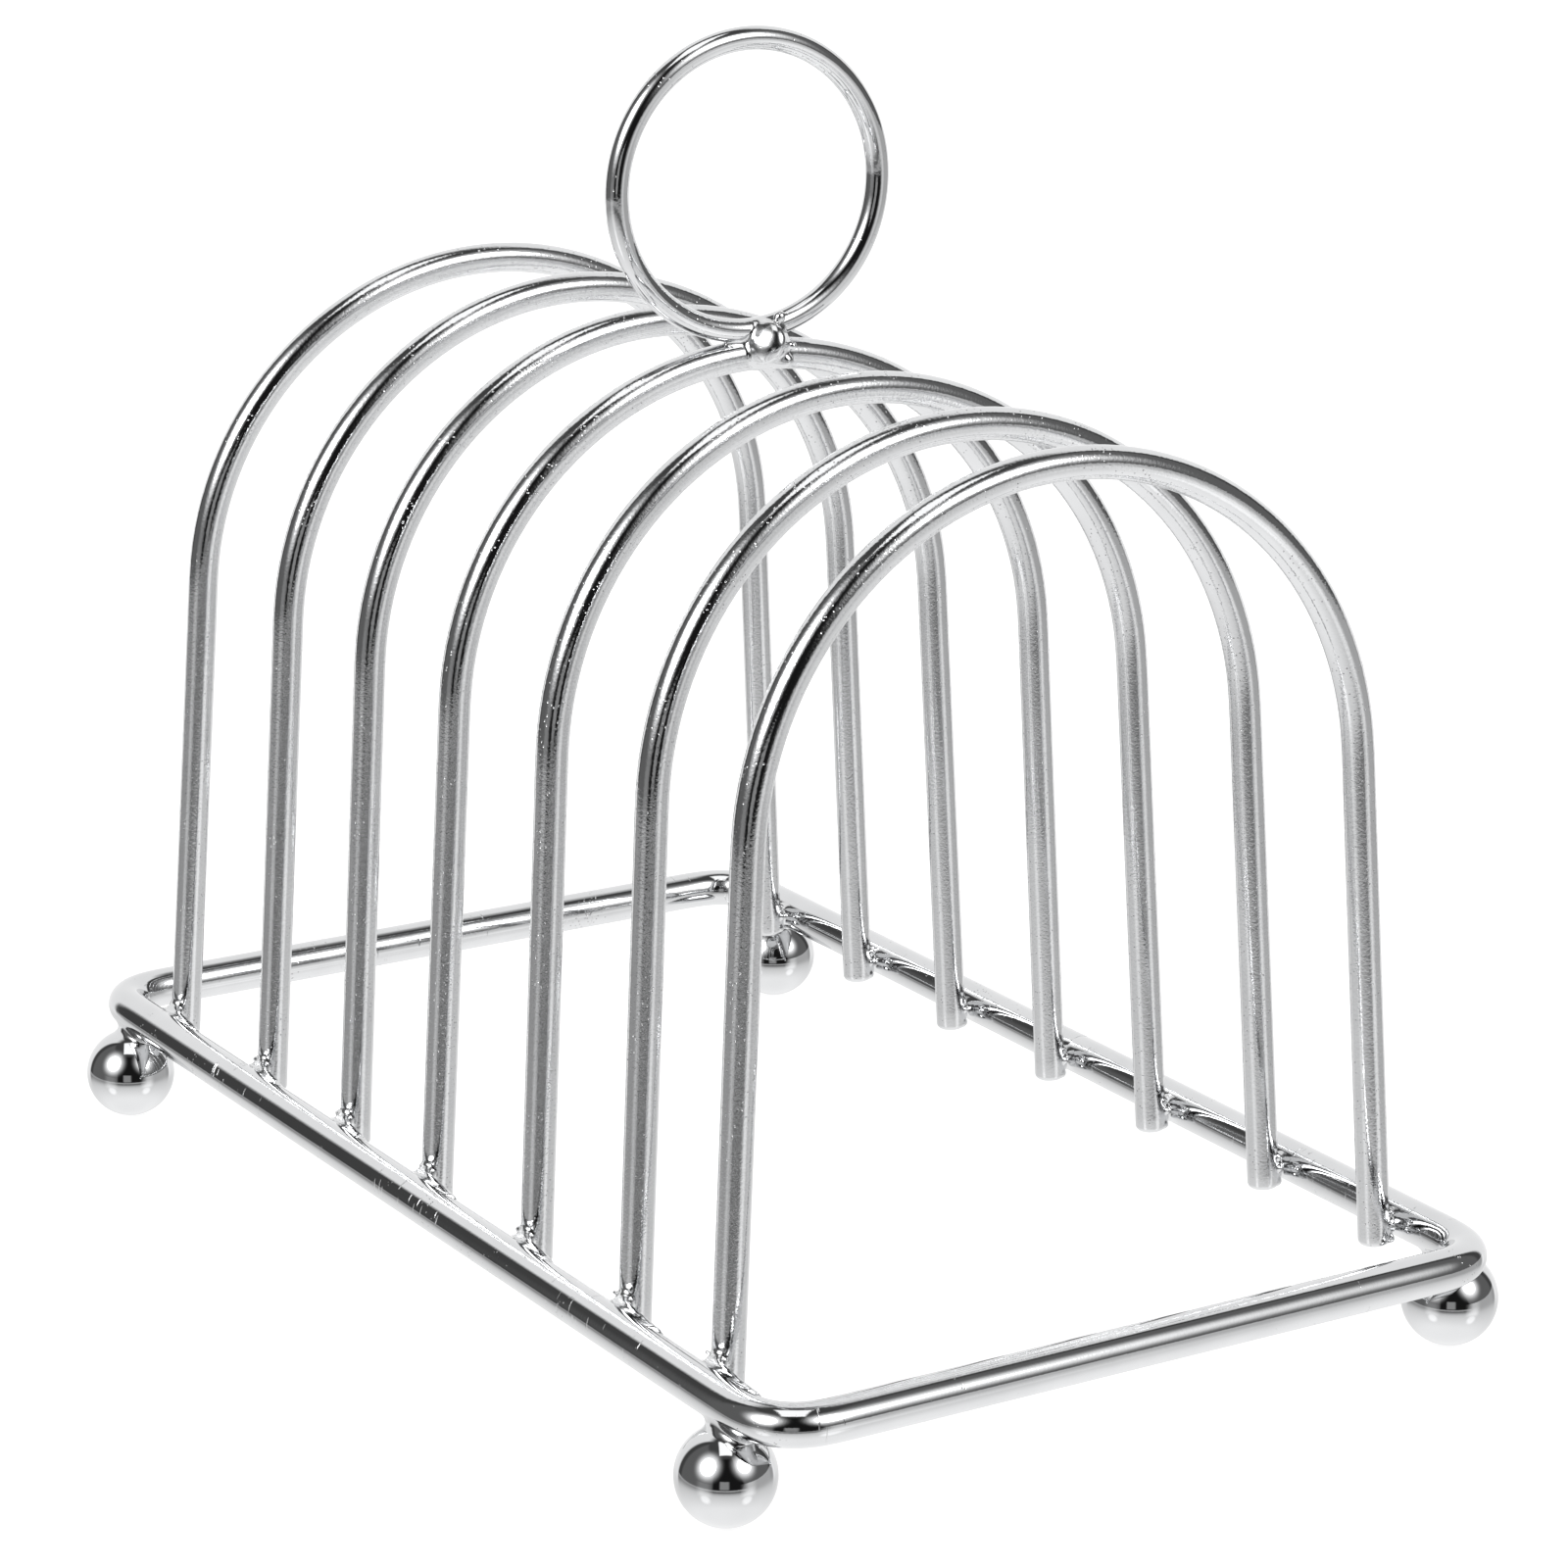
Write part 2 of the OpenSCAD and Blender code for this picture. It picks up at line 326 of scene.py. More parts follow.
def make_world():
    """Soft studio light from all round: two round lamps, an overhead panel, dim side panels, a dark
    gap behind the camera and a white backdrop opposite. Below the horizon is the white glossy table
    as the metal mirrors it, with the studio's reflection in it where it is seen flat."""
    world = bpy.data.worlds.new("studio")
    world.use_nodes = True
    tree = world.node_tree
    tree.nodes.clear()
    ray = tree.nodes.new("ShaderNodeTexCoord").outputs["Generated"]
    level = dot(tree, ray, (0, 0, 1))
    up = maths(tree, "ABSOLUTE", level)
    forward = dot(tree, ray, horizontal(CAMERA_AZIMUTH))
    side = dot(tree, ray, horizontal(CAMERA_AZIMUTH + 90))
    turn = in_degrees(tree, maths(tree, "ARCTAN2", side, forward))
    wide = maths(tree, "ABSOLUTE", turn)
    height = in_degrees(tree, maths(tree, "ARCSINE", up))
    arch = in_degrees(tree, maths(tree, "ARCTAN2", up, forward))
    sideways = in_degrees(tree, maths(tree, "ABSOLUTE", maths(tree, "ARCSINE", side)))

    lean = add_node(tree, "MapRange", height, *WEDGE_LEAN)
    beside = maths(tree, "MAXIMUM", ramp(tree, turn, *WEDGE_LEFT),
                   ramp(tree, maths(tree, "SUBTRACT", turn, lean), *WEDGE_RIGHT))
    patch = times(tree, ramp(tree, turn, *DIM_PATCH_LEFT), ramp(tree, turn, *DIM_PATCH_RIGHT),
                  ramp(tree, height, *DIM_PATCH_TOP))
    light = mix(tree, beside, mix(tree, patch, WEDGE, DIM_PATCH), PANEL)
    past_panel = maths(tree, "MAXIMUM", ramp(tree, wide, *PANEL_END), ramp(tree, height, *PANEL_TOP))
    light = mix(tree, past_panel, light, BAND)
    backdrop = times(tree, ramp(tree, wide, *BACKDROP_SIDES), ramp(tree, height, *BACKDROP_TOP))
    light = mix(tree, backdrop, light, BACKDROP)
    overhead = times(tree, ramp(tree, arch, *OVERHEAD_FRONT), ramp(tree, arch, *OVERHEAD_BACK),
                     ramp(tree, sideways, *OVERHEAD_SIDES))
    light = mix(tree, overhead, light, OVERHEAD)

    mirrored = light
    glare_left = ramp(tree, height, *TABLE_GLARE_LEFT_RISE, 0.0, TABLE_GLARE_LEFT)
    for towards, amount in ((turn, TABLE_GLARE_RIGHT), (times(tree, turn, -1.0), glare_left)):
        glare = times(tree, ramp(tree, towards, *TABLE_GLARE_START, 0.0, amount),
                      ramp(tree, towards, *TABLE_GLARE_END))
        mirrored = plus(tree, mirrored, glare)
    strip = times(tree, ramp(tree, height, *TABLE_STRIP_TOP), ramp(tree, height, *TABLE_STRIP_BOTTOM))
    mirrored = maths(tree, "MAXIMUM", mirrored, times(tree, strip, TABLE_STRIP))

    sheen = 0.0
    for azimuth, elevation, radius, strength, sheen_near in LAMPS:
        apart = maths(tree, "ABSOLUTE", maths(tree, "SUBTRACT", turn, azimuth))
        streak = times(tree, ramp(tree, apart, *SHEEN_SIDES, 0.0, sheen_near),
                       ramp(tree, height, *SHEEN_RISE, SHEEN_FAR, 1.0), ramp(tree, height, *SHEEN_END))
        lift = math.radians(elevation)
        level_part = dot(tree, ray, horizontal(CAMERA_AZIMUTH + azimuth) * math.cos(lift))
        aim = plus(tree, level_part, times(tree, up, math.sin(lift)))
        angle = in_degrees(tree, maths(tree, "ARCCOSINE", aim))
        spot = ramp(tree, angle, *SHEEN_SPOT_EDGE, 0.0, SHEEN_SPOT)
        sheen = plus(tree, maths(tree, "MAXIMUM", streak, spot), sheen)
        outer, inner = [radius + edge for edge in LAMP_EDGE]
        core = ramp(tree, angle, outer, inner, 0.0, strength)
        outer, inner = [radius + edge for edge in LAMP_GLOW_EDGE]
        glow = maths(tree, "POWER", ramp(tree, angle, outer, inner), LAMP_GLOW_POWER)
        light = plus(tree, light, plus(tree, core, times(tree, glow, LAMP_GLOW)))

    steep = maths(tree, "POWER", maths(tree, "DIVIDE", height, TABLE_HALF_GLOSS), TABLE_GLOSS_POWER)
    gloss = maths(tree, "DIVIDE", 1.0, plus(tree, steep, 1.0))
    plain = ramp(tree, height, *TABLE_FAR_TO_NEAR, TABLE_FAR, TABLE_NEAR)
    table = plus(tree, mix(tree, gloss, plain, mirrored), sheen)
    light = mix(tree, ramp(tree, level, *HORIZON), table, light)
    background = add_node(tree, "Background", (1, 1, 1, 1), light)
    output = tree.nodes.new("ShaderNodeOutputWorld")
    tree.links.new(background, output.inputs["Surface"])
    bpy.context.scene.world = world


def make_floor():
    material = bpy.data.materials.new("floor")
    material.use_nodes = True
    shader = material.node_tree.nodes["Principled BSDF"]
    shader.inputs["Base Color"].default_value = (FLOOR_COLOUR,) * 3 + (1,)
    shader.inputs["Roughness"].default_value = FLOOR_ROUGHNESS
    shader.inputs["Emission Color"].default_value = (1, 1, 1, 1)
    shader.inputs["Emission Strength"].default_value = FLOOR_GLOW
    rim = [(FLOOR_RADIUS * math.cos(t), FLOOR_RADIUS * math.sin(t), 0)
           for t in np.arange(FLOOR_SIDES) * 2 * math.pi / FLOOR_SIDES]
    mesh = bpy.data.meshes.new("floor")
    mesh.from_pydata(rim, [], [tuple(range(len(rim)))])
    mesh.materials.append(material)
    floor = bpy.data.objects.new("floor", mesh)
    bpy.context.scene.collection.objects.link(floor)
    floor.visible_glossy = False


# ---------------------------------------------------------------- finishes

def make_chrome(name, roughness, pits=0.0, grain=0.0, orange_peel=0.0, streaks=0.0, cuts=0.0, flow=0.0):
    """Bright plating. Heights are in mm. Pits is the share of the surface with pinholes and grit under
    the plating, grain the height of its fine unevenness, orange_peel that of broader ripples, streaks
    the fine lines that drawing leaves along a wire, cuts the depth of scratches across one, and flow
    the height of the hairlines that molten metal leaves along the rail."""
    material = bpy.data.materials.new(name)
    material.use_nodes = True
    tree = material.node_tree
    shader = tree.nodes["Principled BSDF"]
    place = tree.nodes.new("ShaderNodeTexCoord").outputs["Object"]

    patches = noise(tree, place, PITTED_SIZE, 3.0)
    dots = add_node(tree, "TexVoronoi", Vector=place, Scale=1 / (PIT_SPACING * MM))
    pitted = ramp(tree, patches, *[value - pits for value in PITTED])
    dots = times(tree, ramp(tree, dots, *PIT_EDGE), pitted)
    height = times(tree, dots, -PIT_DEPTH)
    height = plus(tree, height, times(tree, noise(tree, place, GRAIN_SIZE), grain))
    height = plus(tree, height, times(tree, noise(tree, place, PEEL_SIZE), orange_peel))
    if flow:
        drawn_out = add_node(tree, "VectorMath", place, FLOW_STRETCH, operation="MULTIPLY")
        height = plus(tree, height, times(tree, noise(tree, drawn_out, FLOW_SIZE), flow))
    haze = noise(tree, place, HAZE_SIZE, 4.0)
    rough = add_node(tree, "MapRange", haze, *HAZE, *[roughness * share for share in HAZE_DULLNESS])
    rough = maths(tree, "MAXIMUM", rough, times(tree, dots, PIT_DULLNESS))
    if streaks:
        wire = tree.nodes.new("ShaderNodeAttribute")
        wire.attribute_name = "wire"
        wire = add_node(tree, "VectorMath", wire.outputs["Vector"], (MM, MM, MM), operation="MULTIPLY")
        drawn = add_node(tree, "VectorMath", wire, DRAWN_STRETCH, operation="MULTIPLY")
        lines = noise(tree, drawn, LINE_SIZE, 3.0)
        grooves = times(tree, noise(tree, drawn, GROOVE_SIZE, 1.0), streaks * GROOVE_HEIGHT)
        height = plus(tree, height, plus(tree, times(tree, lines, streaks), grooves))
        rough = plus(tree, rough, ramp(tree, lines, *LINE, 0.0, LINE_DULLNESS))
        if cuts:
            across = add_node(tree, "VectorMath", wire, CUT_STRETCH, operation="MULTIPLY")
            nicks = times(tree, ramp(tree, noise(tree, across, CUT_SIZE, 1.0), *CUT),
                          ramp(tree, noise(tree, place, WORN_SIZE, 1.0), *WORN))
            height = plus(tree, height, times(tree, nicks, -cuts))
            rough = plus(tree, rough, times(tree, nicks, CUT_DULLNESS))
    bump = add_node(tree, "Bump", Strength=1.0, Distance=MM, Height=height)
    tone = add_node(tree, "MapRange", noise(tree, place, TONE_SIZE), *TONE, *TONES)
    tone = times(tree, ramp(tree, dots, 0.0, 1.0, 1.0, PIT_TONE), tone)
    tint = add_node(tree, "VectorMath", CHROME, operation="SCALE", Scale=tone)
    tree.links.new(tint, shader.inputs["Base Color"])
    tree.links.new(rough, shader.inputs["Roughness"])
    tree.links.new(bump, shader.inputs["Normal"])
    shader.inputs["Metallic"].default_value = 1.0
    return material


# ---------------------------------------------------------------- pieces

def new_mesh(name, verts, faces, material, slot, *nodes):
    """A smooth-shaded piece on the root body that stands for CAD nodes."""
    mesh = bpy.data.meshes.new(name)
    mesh.from_pydata([tuple(v) for v in verts], [], [tuple(f) for f in faces])
    mesh.shade_smooth()
    mesh.materials.append(material)
    piece = bpy.data.objects.new(name, mesh)
    bpy.context.scene.collection.objects.link(piece)
    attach(piece, "root")
    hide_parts(*nodes)
    return piece


# ---------------------------------------------------------------- wires

def line(a, b, step):
    """Points from a to b, without b."""
    a, b = np.asarray(a, float), np.asarray(b, float)
    n = max(2, int(np.linalg.norm(b - a) / step))
    return [a + (b - a) * t for t in np.arange(n) / n]


def arc(centre, u, v, r, start, end, step):
    """Points on a circle in the plane of u and v, from angle start to end in radians, without the end."""
    n = max(2, int(abs(end - start) * r / step))
    return [centre + r * (math.cos(t) * u + math.sin(t) * v)
            for t in start + (end - start) * np.arange(n) / n]


def smooth_path(path, spread, longest=3 * MM, most_turn=math.radians(2.5)):
    """An open path with its changes of curvature eased over about spread, thinned out where straight."""
    path = np.array(path)
    steps = np.linalg.norm(np.diff(path, axis=0), axis=1)
    along = np.concatenate([[0], np.cumsum(steps)])
    fine = np.arange(0, along[-1], PATH_STEP)
    path = np.column_stack([np.interp(np.append(fine, along[-1]), along, path[:, k]) for k in range(3)])
    n = int(3 * spread / PATH_STEP)
    kernel = np.exp(-0.5 * (np.arange(-n, n + 1) * PATH_STEP / spread) ** 2)
    padded = np.vstack([2 * path[0] - path[n:0:-1], path, 2 * path[-1] - path[-2:-n - 2:-1]])
    path = np.column_stack([np.convolve(padded[:, k], kernel / kernel.sum(), "valid") for k in range(3)])
    heading = np.diff(path, axis=0)
    heading /= np.linalg.norm(heading, axis=1)[:, None]
    kept, last = [0], 0
    for k in range(1, len(path) - 1):
        turned = math.acos(min(1.0, heading[last] @ heading[k]))
        if turned > most_turn or (k - last) * PATH_STEP > longest:
            kept.append(k)
            last = k
    if np.linalg.norm(path[kept[-1]] - path[-1]) < CUT_EDGE_R * 1.2:
        kept.pop()
    return path[kept + [len(path) - 1]]


def tube(name, path, normal, r, material, slot, *nodes, closed=False, edge_r=0.0):
    """A round wire along a flat path. An open wire's cut ends are rounded by edge_r."""
    path = np.array(path)
    if closed:
        tangent = np.roll(path, -1, 0) - np.roll(path, 1, 0)
    else:
        tangent = np.gradient(path, axis=0)
    tangent /= np.linalg.norm(tangent, axis=1)[:, None]
    radius = np.full(len(path), r)
    if not closed:
        turns = np.linspace(0, math.pi / 2, EDGE_RINGS)
        inset = edge_r * (1 - np.cos(turns))[:, None]
        end_r = r - edge_r * (1 - np.sin(turns))
        path = np.vstack([path[0] + tangent[0] * inset, path[1:-1], (path[-1] - tangent[-1] * inset)[::-1]])
        radius = np.concatenate([end_r, radius[1:-1], end_r[::-1]])
        repeats = [len(turns)] + [1] * (len(tangent) - 2) + [len(turns)]
        tangent = np.repeat(tangent, repeats, axis=0)
    normal = unit(normal)
    side = np.cross(tangent, normal)
    angles = np.arange(SIDES) * 2 * math.pi / SIDES
    spokes = np.cos(angles)[None, :, None] * normal + np.sin(angles)[None, :, None] * side[:, None]
    verts = path[:, None] + radius[:, None, None] * spokes
    along = np.concatenate([[0], np.cumsum(np.linalg.norm(np.diff(path, axis=0), axis=1))])
    wire = np.stack(np.broadcast_arrays(np.cos(angles) * r, np.sin(angles) * r, along[:, None]), 2) / MM
    count = len(path)
    faces = []
    for j in range(count if closed else count - 1):
        a, b = j * SIDES, (j + 1) % count * SIDES
        faces += [(a + k, a + (k + 1) % SIDES, b + (k + 1) % SIDES, b + k) for k in range(SIDES)]
    if not closed:
        faces += [tuple(range(SIDES))[::-1], tuple(range((count - 1) * SIDES, count * SIDES))]
    piece = new_mesh(name, verts.reshape(-1, 3), faces, material, slot, *nodes)
    coordinates = piece.data.attributes.new("wire", "FLOAT_VECTOR", "POINT")
    coordinates.data.foreach_set("vector", wire.astype(np.float32).ravel())
    return piece


def flat_frame(node):
    """A flat upright CAD node's points, their middle, and its axes: across, up and normal towards +X."""
    points = np.array([v.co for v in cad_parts[node].data.vertices], float)
    middle = points.mean(0)
    normal = np.linalg.eigh(np.cov((points - middle).T))[1][:, 0]
    normal = normal * np.sign(normal[0])
    across = unit(np.cross((0, 0, 1), normal))
    return points, middle, across, np.cross(normal, across), normal


def fit_circle(a, b, wire_r):
    """Centre and radius of a bent wire's centre line, from the outermost points of its surface."""
    rows = np.column_stack([2 * a, 2 * b, np.ones(len(a))])
    rim = np.full(len(a), True)
    for share in (1.0, 0.7, 0.4, 0.2, 0.1):
        (ca, cb, _), *_ = np.linalg.lstsq(rows[rim], (a * a + b * b)[rim], rcond=None)
        reach = np.hypot(a - ca, b - cb)
        rim = reach > reach.max() - share * wire_r
    return ca, cb, reach.max() - wire_r


def bent_wire(node, depth):
    """The circle that the top of a flat CAD node is bent to: its wire above depth from the top."""
    points, middle, across, up, normal = flat_frame(node)
    a, b, c = (points - middle) @ across, (points - middle) @ up, (points - middle) @ normal
    top = b > b.max() - depth
    wire_r = (c[top].max() - c[top].min()) / 2
    ca, cb, r = fit_circle(a[top], b[top], wire_r)
    centre = middle + across * ca + up * cb + normal * (c[top].max() + c[top].min()) / 2
    shape = {"centre": centre, "across": across, "up": up, "normal": normal, "r": r, "wire_r": wire_r}
    return shape, a - ca, b - cb


def hoop_shape(i):
    """A hoop's crown circle, and for each leg its foot point, its tangent point and the angle of that."""
    hoop, a, b = bent_wire(f"hoop_{i}", CROWN_DEPTH)
    hoop["legs"] = []
    for side in (-1, 1):
        low = (a * side > 0) & (b < b.min() + FOOT_SLICE)
        foot_a, foot_b = (a[low].max() + a[low].min()) / 2, b[low].min()
        turn = math.atan2(foot_b, abs(foot_a)) + math.acos(hoop["r"] / math.hypot(foot_a, foot_b))
        hoop["legs"].append({
            "foot": hoop["centre"] + hoop["across"] * foot_a + hoop["up"] * foot_b, "turn": turn,
            "bend": hoop["centre"] + hoop["r"] * (
                hoop["across"] * side * math.cos(turn) + hoop["up"] * math.sin(turn))})
    return hoop


def hoop_path(hoop):
    """A hoop's centre line. Its crown starts a little larger, by what the easing takes off it."""
    left, right = hoop["legs"]
    path = line(left["foot"], left["bend"], LINE_STEP)
    eased_r = hoop["r"] + HOOP_EASE ** 2 / (2 * hoop["r"])
    path += arc(hoop["centre"], hoop["across"], hoop["up"], eased_r, math.pi - left["turn"],
                right["turn"], ARC_STEP)
    return smooth_path(path + line(right["bend"], right["foot"], LINE_STEP) + [right["foot"]], HOOP_EASE)


def base_shape():
    """The base frame's wire radius, and the x, y and z of its rails' centre lines."""
    lo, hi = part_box("base_frame")
    wire_r = (hi.z - lo.z) / 2
    return wire_r, hi.x - wire_r, hi.y - wire_r, (hi.z + lo.z) / 2


def base_path(seam_x):
    """The base frame's centre line, from the seam in the right rail round the corners and back."""
    _, x, y, z = base_shape()
    east, north = np.array([1.0, 0, 0]), np.array([0, 1.0, 0])
    here = np.array([seam_x + SEAM_GAP / 2, y, z])
    path = []
    for turn in (90, 0, -90, -180):
        a = math.radians(turn)
        sx, sy = (1 if turn in (90, 0) else -1), (1 if turn in (90, -180) else -1)
        centre = np.array([sx * (x - BASE_CORNER_R), sy * (y - BASE_CORNER_R), z])
        bend = arc(centre, east, north, BASE_CORNER_R, a, a - math.pi / 2, 0.3 * MM)
        path += line(here, bend[0], 2 * MM) + bend
        here = centre + BASE_CORNER_R * (math.sin(a) * east - math.cos(a) * north)
    last = np.array([seam_x - SEAM_GAP / 2, y, z])
    return smooth_path(path + line(here, last, LINE_STEP) + [last], CORNER_EASE)


# ---------------------------------------------------------------- weld metal, in mm

def fill_pinches(f, depth):
    """Makes f -depth where the inside would otherwise touch itself only along an edge of the mesh."""
    n = f.shape
    for _ in range(4):
        for a, b in ((0, 1), (1, 2), (0, 2)):
            side = {(i, j): tuple(slice(i, n[k] - 1 + i) if k == a else slice(j, n[k] - 1 + j) if k == b
                                  else slice(None) for k in range(3)) for i in (0, 1) for j in (0, 1)}
            inside = {ij: f[at] < 0 for ij, at in side.items()}
            crossed = ((inside[0, 0] == inside[1, 1]) & (inside[0, 1] == inside[1, 0])
                       & (inside[0, 0] != inside[0, 1]))
            for at in side.values():
                f[at] = np.where(crossed & (f[at] >= 0), -depth, f[at])


def largest_part(verts, faces):
    """The biggest connected part of a mesh, without any specks beside it."""
    label = np.arange(len(verts))
    while True:
        low = label.copy()
        np.minimum.at(low, faces.ravel(), np.repeat(label[faces].min(1), 4))
        low = low[low]
        if (low == label).all():
            break
        label = low
    kept = label == np.bincount(label).argmax()
    return verts[kept], (np.cumsum(kept) - 1)[faces[kept[faces[:, 0]]]]


def surface_net(field, lo, hi, step):
    """A closed quad mesh of the surface where field is 0, inside the box from lo to hi."""
    lo = np.asarray(lo, float) - GRID_SHIFT * step
    shape = np.ceil((np.asarray(hi) - lo) / step).astype(int) + 1
    grid = np.stack(np.meshgrid(*[np.arange(n) for n in shape], indexing="ij"), -1)
    f = field(lo + grid[::COARSE, ::COARSE, ::COARSE] * step)
    nearest = np.minimum(np.rint(grid / COARSE).astype(int), np.array(f.shape) - 1)
    f = f[tuple(np.moveaxis(nearest, 3, 0))]
    close = np.abs(f) < 1.5 * COARSE * step
    f[close] = field(lo + grid[close] * step)
    fill_pinches(f, PINCH_FILL * step)
    one = np.eye(3, dtype=int)
    quads, places = [], []
    for a in range(3):
        b, c = one[(a + 1) % 3], one[(a + 2) % 3]
        near = f[tuple(slice(0, n - 1) if i == a else slice(0, n) for i, n in enumerate(shape))]
        far = f[tuple(slice(1, n) if i == a else slice(0, n) for i, n in enumerate(shape))]
        start = np.argwhere((near < 0) != (far < 0))
        at = tuple(start.T)
        point = start + (near[at] / (near[at] - far[at]))[:, None] * one[a]
        cells = np.stack([start, start - b, start - b - c, start - c], 1)
        cells = np.where((near[at] < 0)[:, None, None], cells, cells[:, ::-1])
        quads.append(np.ravel_multi_index(tuple(np.moveaxis(cells, 2, 0)), shape))
        places.append(np.repeat(point[:, None], 4, 1))
    quads, places = np.concatenate(quads), np.concatenate(places)
    used, faces = np.unique(quads, return_inverse=True)
    faces = faces.reshape(quads.shape)
    total = np.zeros((len(used), 3))
    np.add.at(total, faces, places)
    verts = lo + total / np.bincount(faces.ravel())[:, None] * step
    h, most = NET_PROBE * step, NET_MOVE * step
    for _ in range(NET_MOVES):
        slope = np.stack([(field(verts + h * e) - field(verts - h * e)) / (2 * h) for e in one], 1)
        move = (field(verts) / np.maximum((slope ** 2).sum(1), LEAST_SLOPE))[:, None] * slope
        verts -= np.clip(move, -most, most)
    return largest_part(verts, faces)


def blend(a, b, k):
    """The union of two solids with a fillet of about k between them."""
    h = np.clip(0.5 + 0.5 * (b - a) / k, 0, 1)
    return b + (a - b) * h - k * h * (1 - h)


def ball(p, centre, r):
    return np.linalg.norm(p - centre, axis=-1) - r


def along_path(p, path, r, middle, reach):
    """A wire along those parts of a path (in mm) that come within reach of middle."""
    nearest = np.full(p.shape[:-1], np.inf)
    for a, b in zip(path[:-1], path[1:]):
        if min(np.linalg.norm(a - middle), np.linalg.norm(b - middle)) < reach:
            q, way = p - a, b - a
            t = np.clip(q @ way / (way @ way), 0, 1)
            nearest = np.minimum(nearest, ((q - t[..., None] * way) ** 2).sum(-1))
    return np.sqrt(nearest) - r


def cut_rod(p, start, way, r, edge):
    """A rod that begins at start, with that end's edge rounded."""
    q = p - start
    t = q @ way
    out = np.linalg.norm(q - t[..., None] * way, axis=-1) - r + edge
    end = edge - t
    return np.minimum(np.maximum(out, end), 0) + np.hypot(np.maximum(out, 0), np.maximum(end, 0)) - edge


def capsule(p, a, b, ra, rb):
    """A rounded rod from a to b whose radius goes from ra to rb."""
    q, way = p - a, b - a
    t = np.clip(q @ way / (way @ way), 0, 1)
    return np.linalg.norm(q - t[..., None] * way, axis=-1) - (ra + (rb - ra) * t)


def lens(p, centre, axis, flat, wide):
    """A round cushion that is flatter along axis, about as far off as the field says near its surface."""
    q = p - centre
    t = q @ axis
    across = np.linalg.norm(q - t[..., None] * axis, axis=-1)
    return (np.hypot(t / flat, across / wide) - 1) * flat


def hoop_wire(p, shape, r):
    """The bent part of a hoop or a ring as an endless circle."""
    q = p - shape["centre"] / MM
    a, b, c = q @ shape["across"], q @ shape["up"], q @ shape["normal"]
    return np.hypot(np.hypot(a, b) - shape["r"] / MM, c) - r


def ripples(rng, size, count=12):
    """A smooth random field of about -1 to 1, with bumps about size wide."""
    waves = rng.normal(size=(count, 3)) * 1.6 / size
    phases = rng.uniform(0, 2 * math.pi, count)
    return lambda p: np.sin(p @ waves.T + phases).sum(-1) / math.sqrt(count)


def weld_share(body, wires, depth):
    """0 on the bare wires, 1 where the body's surface is depth or more outside them."""
    return np.clip((wires - body) / depth, 0, 1)


def roughen(p, body, amount, bumps):
    """Raises body's surface by bumps where amount isn't 0. Points far from the surface are left."""
    near = (np.abs(body) < 0.6) & (amount > 0)
    body = body.copy()
    body[near] -= amount[near] * bumps(p[near])
    return body


def leg_weld(i, side, leg, hoop, rails, material):
    """The metal that joins a leg to its rail: a web between them, small beads about it, and on the left
    a tail that runs out along the rail."""
    rng = np.random.default_rng(100 * i + side)
    rail_r, _, rail_y, rail_z = [v / MM for v in base_shape()]
    leg_r = hoop["wire_r"] / MM
    foot = leg["foot"] / MM
    way = unit(leg["bend"] - leg["foot"])
    joint = foot + way * (rail_z - foot[2]) / way[2]
    rail = np.array([joint[0], side * rail_y, rail_z])
    left = side < 0

    def place(base, east, out, lift):
        return base + np.array([east, side * out, lift])

    def draw(spans):
        return [rng.uniform(*span) for span in spans]

    web_fillet = rng.uniform(*WEB_FILLET)
    beads, tail = [], None
    if left:
        slope = math.radians(rng.uniform(*TAIL_SLOPE))
        tip = place(rail, rng.uniform(*TAIL_LENGTH), -rail_r * math.cos(slope), rail_r * math.sin(slope))
        tail = place(joint, *TAIL_START), tip, *TAIL_RADII
        west, out, lift, r = draw(WEST_BEAD)
        beads.append((place(joint, -west, out, lift), r))
        for _ in range(TOP_BEADS):
            east, out, lift, r = draw(TOP_BEAD)
            beads.append((place(joint, east, out, lift), r))
    else:
        for lift in RIGHT_BEAD_LIFTS:
            east, out, r = draw(RIGHT_BEAD)
            beads.append((place(joint, east, out, lift), r))
    bumps = ripples(rng, LEG_BUMP_SIZE)

    def field(p):
        bar = along_path(p, rails, rail_r, rail, LEG_WELD_RAIL) + UNDER_WIRE
        post = cut_rod(p, foot, way, leg_r, CUT_EDGE_R / MM) + UNDER_WIRE
        body = blend(bar, post, web_fillet)
        if tail:
            body = blend(body, capsule(p, *tail), TAIL_FILLET)
        for centre, r in beads:
            body = blend(body, ball(p, centre, r), BEAD_FILLET)
        wet = weld_share(body, np.minimum(bar, post), WELD_DEPTH)
        close = np.exp(-((p - joint) ** 2).sum(-1) / LEG_BUMP_FADE)
        body = roughen(p, body, wet * close, lambda q: LEG_WELD_BUMPS[side] * bumps(q))
        off = p - place(joint, *LEG_WELD_MIDDLE)
        reach = np.linalg.norm(off / np.array(LEG_WELD_REACH), axis=-1)
        return np.maximum(body, (reach - 1) * min(LEG_WELD_REACH))

    verts, faces = surface_net(field, *[joint + corner for corner in LEG_WELD_BOX], WELD_STEP)
    name = f"leg_weld_{'left' if left else 'right'}_{i}"
    new_mesh(name + "_bead", verts * MM, faces, material, "weld_metal", name)


